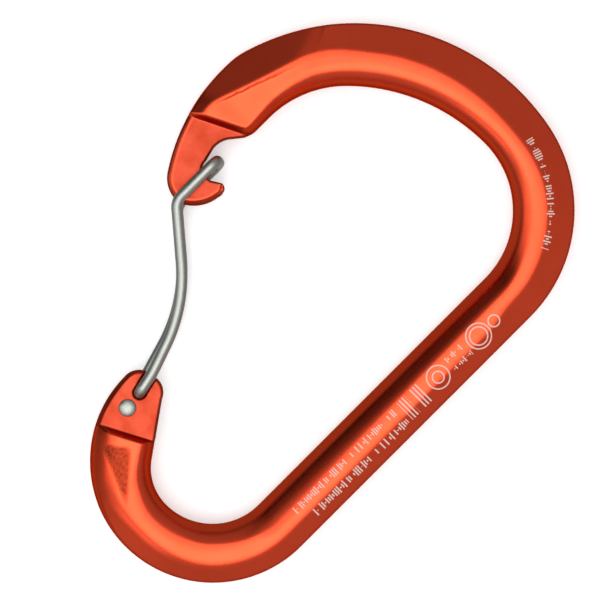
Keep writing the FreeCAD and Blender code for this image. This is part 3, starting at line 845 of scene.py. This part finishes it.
def crease_shade_line(shading, place):
    """Mask of the painted shade in the nose's crease: a thin uneven dark line between its ridge
    and its facet.
    """
    x, y, _ = shading.axes(place)
    first, last = (np.array(point) for point in RIDGE)
    along = unit(last - first)
    shift = CREASE_SHADE_OFFSET + along[1] * first[0] - along[0] * first[1]
    right = shading.maths("SUBTRACT", shading.maths("MULTIPLY", x, along[1]),
                          shading.maths("MULTIPLY", y, along[0]))
    wobble = shading.noise(place, scale=0.7, detail=2.0)
    waver = shading.spread(wobble, -CREASE_SHADE_WAVER, CREASE_SHADE_WAVER, start=0.3, end=0.7)
    off = shading.maths("SUBTRACT", shading.maths("ADD", right, waver), shift)
    off = shading.maths("ABSOLUTE", off)
    line = shading.spread(off, 1.0, 0.0, start=CREASE_SHADE_CORE * CREASE_SHADE_HALF, end=CREASE_SHADE_HALF)
    lower = shading.spread(y, 0.0, 1.0, start=CREASE_SHADE_FOOT, end=CREASE_SHADE_FOOT + CREASE_SHADE_FOOT_RUN)
    upper = shading.spread(y, 1.0, 0.0, start=CREASE_SHADE_TOP - CREASE_SHADE_TOP_RUN, end=CREASE_SHADE_TOP)
    return shading.maths("MULTIPLY", line, shading.maths("MULTIPLY", lower, upper))


# Laser-etched ticks: centre of the row, half its height, its two ends, and the pitch of the
# ticks, across and along the spine. A tick fills a share of its pitch to each side, and its
# height, as a share of the row's, varies at random and is cut off at the row's.
TICK_ROWS = [
    (34.0, 0.80, -26.5, -2.2, 0.50),
    (31.1, 0.75, -29.5, -2.8, 0.46),
    (33.4, 0.60, 10.6, 15.2, 0.44),
    (31.2, 0.60, 10.6, 15.2, 0.44),
]
TICK_HALF = 0.29
TICK_SHORTEST, TICK_TALLEST = -0.25, 1.3
TICK_SEED = 10.0

# the row round the upper corner: radius, half its height, its ends and pitch in degrees
ARC_ROW = (23.5, 0.75, 27.0, 79.0, 1.15)
ARC_SEED = 90.0

# blocks of bars: centre and half-length across, ends along; half the bars' pitch and half a bar
BARS = [(32.4, 2.2, -1.4, 0.6), (32.4, 2.2, 1.8, 3.8)]
BAR_HALF_PITCH = 0.35
BAR_HALF = 0.15

# rings: centre X, centre Y, radius; half the width of their line
RINGS = [(32.3, 7.5, 2.2), (32.3, 7.5, 1.1),
         (32.2, 18.2, 2.4), (32.2, 18.2, 1.7), (32.2, 22.2, 1.1)]
RING_LINE = 0.13


def within(shading, value, start, end):
    """1 where a value is between two others, 0 elsewhere."""
    return shading.maths("COMPARE", value, (start + end) / 2, (end - start) / 2)


def ticks(shading, across, along, row, seed):
    """Short strokes of uneven height in a row."""
    centre, half, start, end, pitch = row
    cell = shading.maths("DIVIDE", along, pitch)
    chance = shading.node("TexWhiteNoise")
    chance.noise_dimensions = "1D"
    shading.put(shading.maths("ADD", shading.maths("FLOOR", cell), seed), chance.inputs["W"])
    reach = shading.spread(chance.outputs["Value"], TICK_SHORTEST * half, TICK_TALLEST * half)
    off_centre = shading.maths("ABSOLUTE", shading.maths("SUBTRACT", across, centre))
    tall = shading.maths("LESS_THAN", off_centre, shading.maths("MINIMUM", reach, half))
    stroke = shading.maths("COMPARE", shading.maths("FRACT", cell), 0.5, TICK_HALF)
    in_row = within(shading, along, start, end)
    return shading.maths("MULTIPLY", shading.maths("MULTIPLY", tall, stroke), in_row)


def bars(shading, x, y, block):
    """Block of bars across the spine."""
    centre, half, start, end = block
    lines = shading.maths("LESS_THAN", shading.maths("PINGPONG", y, BAR_HALF_PITCH), BAR_HALF)
    in_block = shading.maths("MULTIPLY", within(shading, y, start, end), lines)
    return shading.maths("MULTIPLY", in_block, shading.maths("COMPARE", x, centre, half))


def corner_ticks(shading, x, y):
    """Row of ticks that follows the upper corner."""
    from_x = shading.maths("SUBTRACT", x, CORNER[0])
    from_y = shading.maths("SUBTRACT", y, CORNER[1])
    square = shading.maths("ADD", shading.maths("POWER", from_x, 2.0),
                           shading.maths("POWER", from_y, 2.0))
    angle = shading.maths("DEGREES", shading.maths("ARCTAN2", from_y, from_x))
    return ticks(shading, shading.maths("SQRT", square), angle, ARC_ROW, ARC_SEED)


def etched_marks(shading, place):
    """Mask of the generic marks etched on the front of the spine and of the upper corner."""
    x, y, z = shading.axes(place)
    marks = [ticks(shading, x, y, row, TICK_SEED * number) for number, row in enumerate(TICK_ROWS)]
    marks += [bars(shading, x, y, block) for block in BARS]
    flat = shading.node("CombineXYZ", x, y).outputs[0]
    for ring_x, ring_y, radius in RINGS:
        from_centre = shading.vector_value("DISTANCE", flat, (ring_x, ring_y, 0.0))
        marks.append(shading.maths("COMPARE", from_centre, radius, RING_LINE))
    marks.append(corner_ticks(shading, x, y))
    total = marks[0]
    for mark in marks[1:]:
        total = shading.maths("MAXIMUM", total, mark)
    return shading.maths("MULTIPLY", total, shading.maths("GREATER_THAN", z, MID_PLANE))


# colours of the anodising, from and to where they vary, of what shows in and through it, and
# darker ones that paint shade in the hollow, the crease and the walls' feet
SATIN_COLOURS = ((0.78, 0.072, 0.026, 1), (0.84, 0.088, 0.036, 1))
TAB_COLOURS = ((0.25, 0.030, 0.012, 1), (0.38, 0.058, 0.032, 1))
# the hollow's colours: its pits are real texture, its darkness is painted shade
HOLLOW_SHADE_COLOURS = ((0.18, 0.020, 0.006, 1), (0.30, 0.035, 0.012, 1))
# painted shade in the nose's crease
CREASE_SHADE_COLOUR = (0.22, 0.020, 0.006, 1)
# painted shade at the walls' feet and in the slots
RECESS_SHADE_COLOUR = (0.16, 0.022, 0.008, 1)
ETCHED_COLOUR = (0.74, 0.49, 0.43, 1)
EDGE_TINT = (0.65, 0.25, 0.15, 1)

# how far those colours cover the satin one
TAB_COVER, HOLLOW_SHADE_COVER, CREASE_SHADE_COVER, RECESS_SHADE_COVER = 0.75, 0.9, 0.9, 0.65

# roughness of the satin, the coarse and the etched surface, and how much it varies
SATIN_ROUGH, COARSE_ROUGH, ETCHED_ROUGH = 0.29, 0.42, 0.6
SPECKLE = 0.025

# bump: its full height, and the shares in it of each surface's skin, pits, grain and etching
SKIN_HEIGHT = 0.04
SATIN_SKIN, COARSE_SKIN, PIT_SKIN, GRAIN_SKIN, ETCHED_SKIN = 0.02, 0.5, 2.5, 0.02, 0.4


def anodised_aluminium():
    """Orange-red anodised aluminium, satin, matte on the tabs, with bare etched marks, and with
    shade and a highlight painted into its colour.
    """
    shading = Shading("anodised_aluminium")
    place = shading.place()
    matte, recess_shade, pitted_and_shaded = (shading.attribute(name) for name in ("matte", "recess_shade", "pitted_and_shaded"))
    marks = etched_marks(shading, place)
    pit = shading.noise(place, scale=2.0, detail=3.0)
    grain = shading.noise(place, scale=5.0, detail=4.0)
    coarse = shading.maths("MAXIMUM", matte, pitted_and_shaded)

    colour = anodised_colour(shading, place, matte, recess_shade, pitted_and_shaded, pit)
    colour = shading.mix(marks, colour, ETCHED_COLOUR)
    speckle = shading.spread(grain, -SPECKLE, SPECKLE, start=0.3, end=0.7)
    rough = shading.maths("ADD", shading.spread(coarse, SATIN_ROUGH, COARSE_ROUGH), speckle)
    rough = shading.maths("MAXIMUM", rough, shading.maths("MULTIPLY", marks, ETCHED_ROUGH))
    shading.set(Base_Color=colour, Metallic=shading.maths("SUBTRACT", 1.0, marks), Roughness=rough,
                Specular_Tint=EDGE_TINT)

    skin_share = shading.spread(coarse, SATIN_SKIN, COARSE_SKIN)
    skin = shading.maths("MULTIPLY", shading.noise(place, scale=2.6, detail=3.0), skin_share)
    pits = shading.maths("MULTIPLY", pitted_and_shaded, pit)
    skin = shading.maths("ADD", skin, shading.maths("MULTIPLY", pits, PIT_SKIN))
    skin = shading.maths("ADD", skin, shading.maths("MULTIPLY", grain, GRAIN_SKIN))
    skin = shading.maths("SUBTRACT", skin, shading.maths("MULTIPLY", marks, ETCHED_SKIN))
    shading.bump(skin, SKIN_HEIGHT)
    return shading.material


def anodised_colour(shading, place, matte, recess_shade, pitted_and_shaded, pit):
    """Colour of the anodising, with shade painted in the hollow, the crease and the walls' feet,
    before it is etched.
    """
    cloud = shading.noise(place, scale=0.22, detail=2.0)
    blotch = shading.noise(place, scale=0.30, detail=4.0)
    blotch = shading.spread(blotch, 0.0, 1.0, start=0.34, end=0.62)
    pit_share = shading.spread(pit, 0.0, 1.0, start=0.38, end=0.56)
    layers = [
        (shading.maths("MULTIPLY", matte, TAB_COVER), shading.mix(blotch, *TAB_COLOURS)),
        # the hollow, pitted and painted darker as shade
        (shading.maths("MULTIPLY", pitted_and_shaded, HOLLOW_SHADE_COVER), shading.mix(pit_share, *HOLLOW_SHADE_COLOURS)),
        # painted shade in the nose's crease
        (shading.maths("MULTIPLY", crease_shade_line(shading, place), CREASE_SHADE_COVER), CREASE_SHADE_COLOUR),
        # painted shade at the walls' feet and in the slots
        (shading.maths("MULTIPLY", recess_shade, RECESS_SHADE_COVER), RECESS_SHADE_COLOUR),
    ]
    colour = shading.mix(cloud, *SATIN_COLOURS)
    for cover, layer in layers:
        colour = shading.mix(cover, colour, layer)
    return colour


STEEL_COLOURS = ((0.35, 0.37, 0.335, 1), (0.41, 0.43, 0.395, 1))
STEEL_ROUGH = (0.34, 0.50)
DIE_MARK_HEIGHT = 0.012


def satin_steel():
    """Drawn stainless wire with a satin surface and fine marks from the die."""
    shading = Shading("satin_steel")
    place = shading.place()
    grain = shading.noise(place, scale=4.0, detail=4.0)
    stains = shading.noise(place, scale=0.6, detail=2.0)
    shading.set(Base_Color=shading.mix(stains, *STEEL_COLOURS), Metallic=1.0,
                Roughness=shading.spread(grain, *STEEL_ROUGH, start=0.3, end=0.7))
    shading.bump(grain, DIE_MARK_HEIGHT)
    return shading.material


def pale_floor():
    """Pale translucent floor, lit a little from below."""
    shading = Shading("pale_floor")
    shading.set(Base_Color=(0.92, 0.92, 0.92, 1), Roughness=0.9, Specular_IOR_Level=0.1,
                Emission_Color=(1, 1, 1, 1), Emission_Strength=0.32)
    return shading.material


# ---------------------------------------------------------------- studio

VIEW_WIDTH = 112.0
VIEW_CENTRE = (4.05, -0.50, 5.0)
VIEW_TURN = 45
LENS = 240.0
SENSOR = 36.0
NEAREST_M, FARTHEST_M = 0.01, 10

FLOOR_HALF = 3000.0
FLOOR_HEIGHT = -0.3

# softboxes: name, place and side in metres, and brightness as seen from the part
LIGHTS = [
    ("overhead", (0.0, -0.08, 1.2), 1.5, 1.5),
    ("key", (0.12, -0.22, 1.15), 0.65, 1.3),
    ("fill", (-0.68, -0.62, 0.72), 0.65, 0.95),
    ("low_fill", (-0.95, -0.74, 0.36), 0.42, 0.35),
    ("front", (0.0, -1.05, 0.72), 0.5, 1.0),
]

# surroundings: their grey, the grey in the middle of a dark lobe, the lobe's way and the cosine
# at its edge, what is added towards one side, and at and above the horizon up to a height
STUDIO_GREY = 0.42
LOBE_GREY = 0.05
LOBE_WAY = (-1.0, -0.24, 0.36)
LOBE_EDGE = 0.80
SIDE_GREY = (0.05, -0.05, 0.0)
HORIZON_GREY, SKY_GREY = -0.22, 0.03
HORIZON_TOP = 0.32


def add_camera():
    """Camera straight above the part, turned so that the spine runs up to the right."""
    data = bpy.data.cameras.new("camera")
    data.lens = LENS
    data.sensor_width = SENSOR
    data.clip_start = NEAREST_M
    data.clip_end = FARTHEST_M
    obj = bpy.data.objects.new("camera", data)
    obj.location = (Vector(VIEW_CENTRE) + Vector((0, 0, VIEW_WIDTH * LENS / SENSOR))) * MM
    obj.rotation_euler = (0, 0, math.radians(VIEW_TURN))
    bpy.context.scene.collection.objects.link(obj)
    bpy.context.scene.camera = obj


def add_light(name, location, size, radiance):
    """Square softbox that faces the part, with the given brightness as seen from there."""
    data = bpy.data.lights.new(name, "AREA")
    data.energy = radiance * math.pi * size * size
    data.shape = "SQUARE"
    data.size = size
    obj = bpy.data.objects.new(name, data)
    obj.location = location
    obj.rotation_euler = (-Vector(location)).to_track_quat("-Z", "Y").to_euler()
    bpy.context.scene.collection.objects.link(obj)


def add_floor():
    """Wide floor just below the part."""
    signs = ((-1, -1), (1, -1), (1, 1), (-1, 1))
    corners = np.array([(FLOOR_HALF * x, FLOOR_HALF * y, FLOOR_HEIGHT) for x, y in signs])
    floor = new_mesh("floor", corners * MM, [[0, 1, 2, 3]])
    floor.data.materials.append(pale_floor())
    floor.visible_glossy = False


def add_world():
    """Grey surroundings, brighter to one side, dark beyond the gate side and at the horizon."""
    world = bpy.data.worlds.new("studio")
    world.use_nodes = True
    nodes = Nodes(world.node_tree)
    way = nodes.node("TexCoord").outputs["Generated"]
    side = nodes.vector_value("DOT_PRODUCT", way, SIDE_GREY)
    to_lobe = nodes.vector_value("DOT_PRODUCT", way, unit(LOBE_WAY))
    lobe = nodes.spread(to_lobe, STUDIO_GREY, LOBE_GREY, LOBE_EDGE, 1.0, smooth=True)
    height = nodes.maths("ABSOLUTE", nodes.axes(way)[2])
    horizon = nodes.spread(height, HORIZON_GREY, SKY_GREY, 0.0, HORIZON_TOP, smooth=True)
    grey = nodes.maths("ADD", nodes.maths("ADD", side, lobe), horizon)
    nodes.put(grey, world.node_tree.nodes["Background"].inputs["Color"])
    bpy.context.scene.world = world


def build():
    """The carabiner's pieces, then the studio round them."""
    body = body_mesh()
    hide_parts("body")
    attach(body, "root")
    body.data.materials.append(anodised_aluminium())
    steel = satin_steel()
    for piece in (gate_wire(), front_peg(), rear_peg()):
        piece.data.materials.append(steel)
    add_floor()
    add_world()
    for light in LIGHTS:
        add_light(*light)
    add_camera()
    bpy.context.scene.view_settings.view_transform = "Standard"


build()
